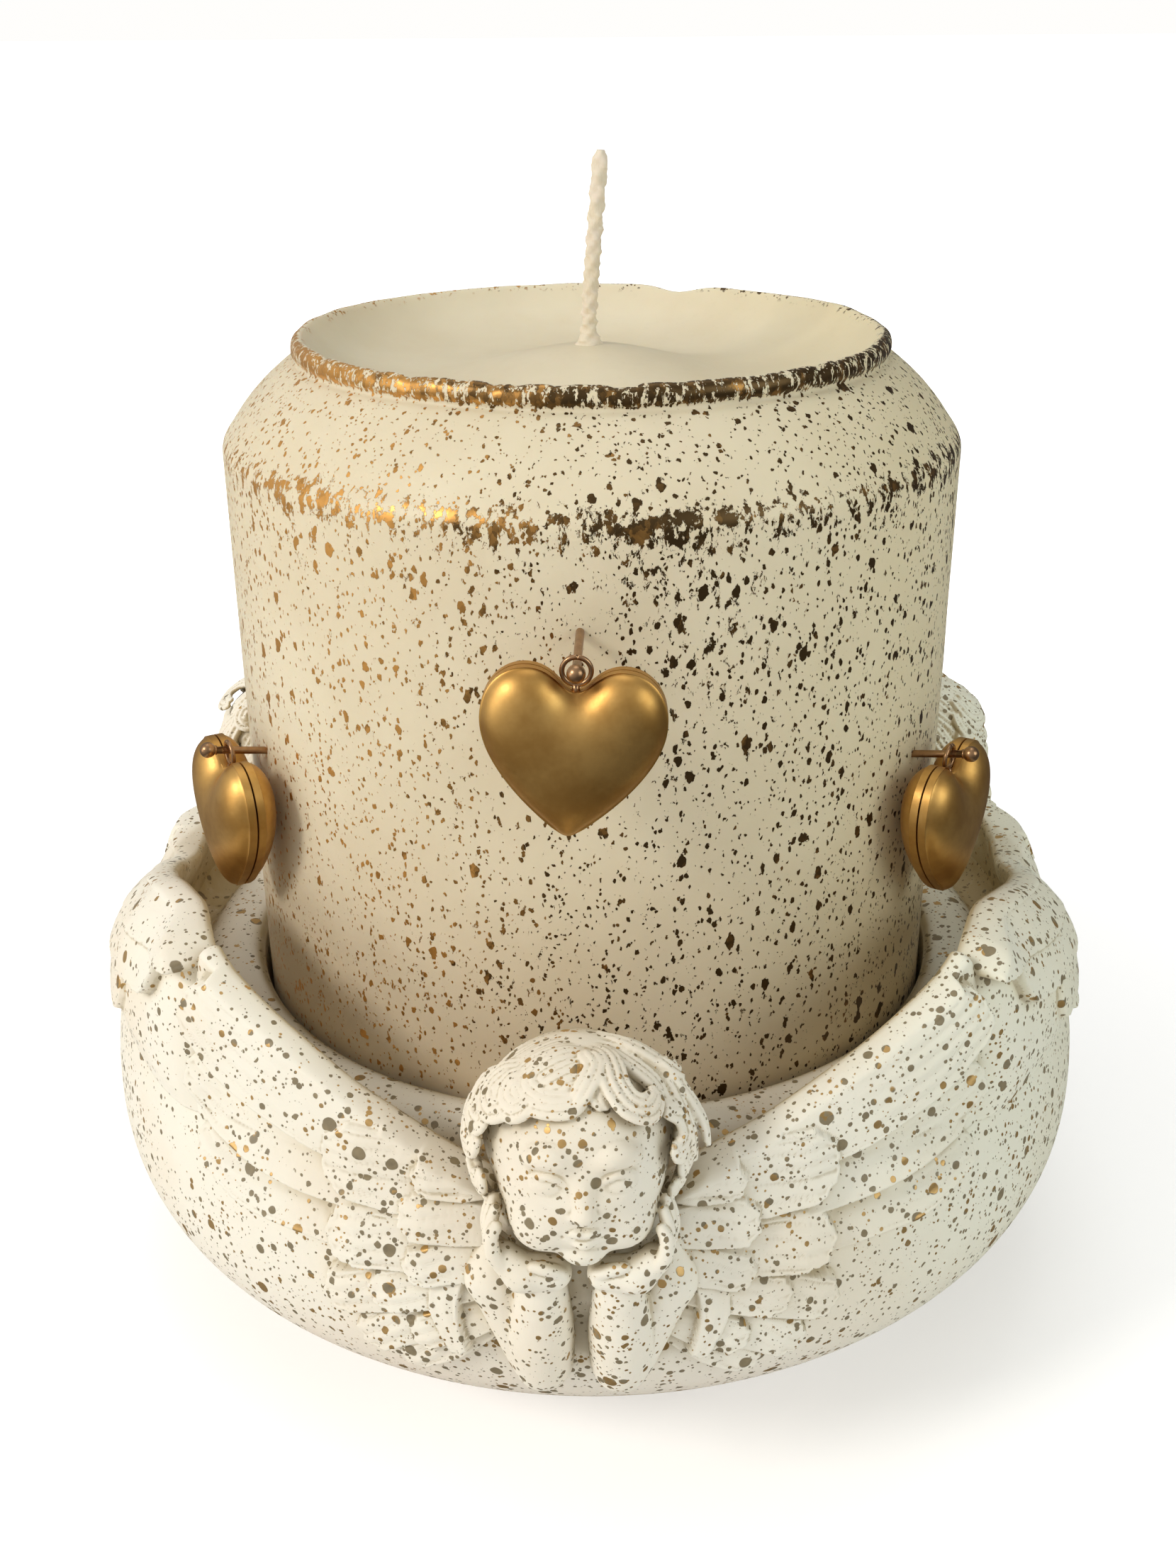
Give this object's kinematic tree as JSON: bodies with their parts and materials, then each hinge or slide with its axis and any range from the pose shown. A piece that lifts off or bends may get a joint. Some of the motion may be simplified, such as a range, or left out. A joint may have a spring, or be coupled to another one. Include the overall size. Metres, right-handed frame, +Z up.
{
  "type": "unity candle",
  "caption": "Pillar candle with a dished top and hanging puffed hearts, seated in a round holder wrapped by leaning cherubs and their wings.",
  "frame": {"origin": "centre of the holder's flat foot, on the surface it stands on", "axes": "+Z up along the candle's axis; the front cherub and the front heart face -Y"},
  "size_m": [0.1502, 0.1571, 0.1624],
  "materials": {
    "wax": "satin cream wax with gold flecks",
    "cotton": "braided, waxed",
    "tinplate": "satin",
    "bisque": "matt ivory with olive and gold speckles",
    "antique_gold": "satin antique gold",
    "copper_wire": "dark copper"
  },
  "bodies": {
    "holder": {"bowl": "bisque", "cherub_front": "bisque", "cherub_right": "bisque", "cherub_left": "bisque", "wing_front_right": "bisque", "wing_front_left": "bisque", "wing_right_fore": "bisque", "wing_left_fore": "bisque", "wing_right_rear": "bisque", "wing_left_rear": "bisque"},
    "candle": {"candle_wax": "wax", "wick": "cotton", "wick_sustainer": "tinplate", "pin_front": "copper_wire", "pin_right": "copper_wire", "pin_back_right": "copper_wire", "pin_back": "copper_wire", "pin_back_left": "copper_wire", "pin_left": "copper_wire"},
    "heart_front": {"heart_front_outer_shell": "antique_gold", "heart_front_inner_shell": "antique_gold", "heart_front_loop": "copper_wire"},
    "heart_right": {"heart_right_outer_shell": "antique_gold", "heart_right_inner_shell": "antique_gold", "heart_right_loop": "copper_wire"},
    "heart_back_right": {"heart_back_right_outer_shell": "antique_gold", "heart_back_right_inner_shell": "antique_gold", "heart_back_right_loop": "copper_wire"},
    "heart_back": {"heart_back_outer_shell": "antique_gold", "heart_back_inner_shell": "antique_gold", "heart_back_loop": "copper_wire"},
    "heart_back_left": {"heart_back_left_outer_shell": "antique_gold", "heart_back_left_inner_shell": "antique_gold", "heart_back_left_loop": "copper_wire"},
    "heart_left": {"heart_left_outer_shell": "antique_gold", "heart_left_inner_shell": "antique_gold", "heart_left_loop": "copper_wire"}
  },
  "joints": [
    {"name": "candle_lift", "type": "slide", "parent": "holder", "child": "candle", "axis": [0, 0, 1], "range_m": [0, 0.075]},
    {"name": "heart_front_swing", "type": "hinge", "parent": "candle", "child": "heart_front", "pos_m": [0, -0.0613, 0.114], "axis": [0, -1, 0], "range_deg": [-35, 35]},
    {"name": "heart_right_swing", "type": "hinge", "parent": "candle", "child": "heart_right", "pos_m": [0.04763, -0.0275, 0.08926], "axis": [0.866, -0.5, 0], "range_deg": [-35, 35]},
    {"name": "heart_back_right_swing", "type": "hinge", "parent": "candle", "child": "heart_back_right", "pos_m": [0.04763, 0.0275, 0.11506], "axis": [0.866, 0.5, 0], "range_deg": [-35, 35]},
    {"name": "heart_back_swing", "type": "hinge", "parent": "candle", "child": "heart_back", "pos_m": [0, 0.055, 0.08926], "axis": [0, 1, 0], "range_deg": [-35, 35]},
    {"name": "heart_back_left_swing", "type": "hinge", "parent": "candle", "child": "heart_back_left", "pos_m": [-0.04763, 0.0275, 0.11506], "axis": [-0.866, 0.5, 0], "range_deg": [-35, 35]},
    {"name": "heart_left_swing", "type": "hinge", "parent": "candle", "child": "heart_left", "pos_m": [-0.04763, -0.0275, 0.08926], "axis": [-0.866, -0.5, 0], "range_deg": [-35, 35]}
  ]
}
